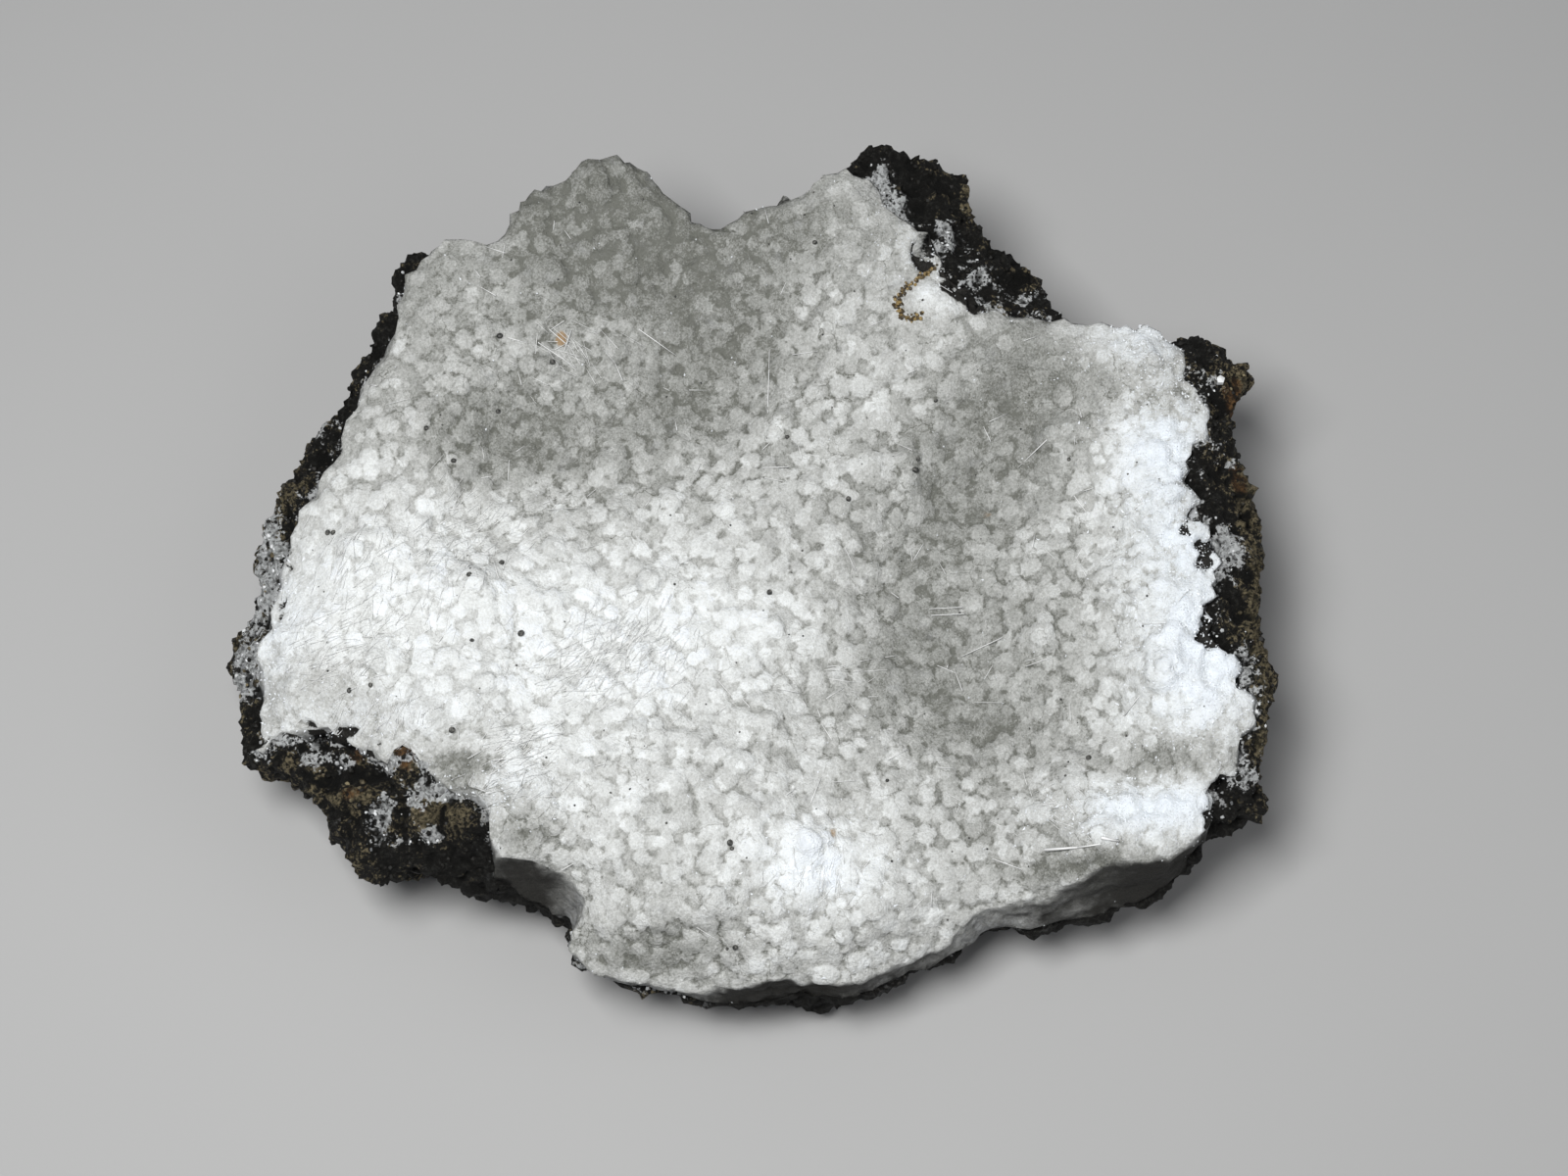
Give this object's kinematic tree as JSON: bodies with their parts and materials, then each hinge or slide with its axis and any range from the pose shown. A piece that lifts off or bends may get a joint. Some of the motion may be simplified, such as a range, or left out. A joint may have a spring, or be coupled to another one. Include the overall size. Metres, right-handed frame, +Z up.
{
  "type": "mordenite and quartz mineral specimen",
  "caption": "Hand-sized mineral specimen: a white, knobbly quartz and mordenite crust that lined a hollow, on a slab of dark basalt with a flat base to rest on.",
  "frame": {"origin": "middle of the specimen's bounding box, on the flat base it rests on", "axes": "+X along the longest extent, +Y away from the viewer, +Z up out of the crust's face"},
  "size_m": [0.1192, 0.0996, 0.0306],
  "materials": {
    "basalt": "rough broken dark basalt with brown weathered patches",
    "druse": "translucent white to grey crystal crust, sugary at the rim"
  },
  "bodies": {
    "root": {"basalt_matrix": "basalt", "quartz_mordenite_crust": "druse"}
  },
  "joints": []
}
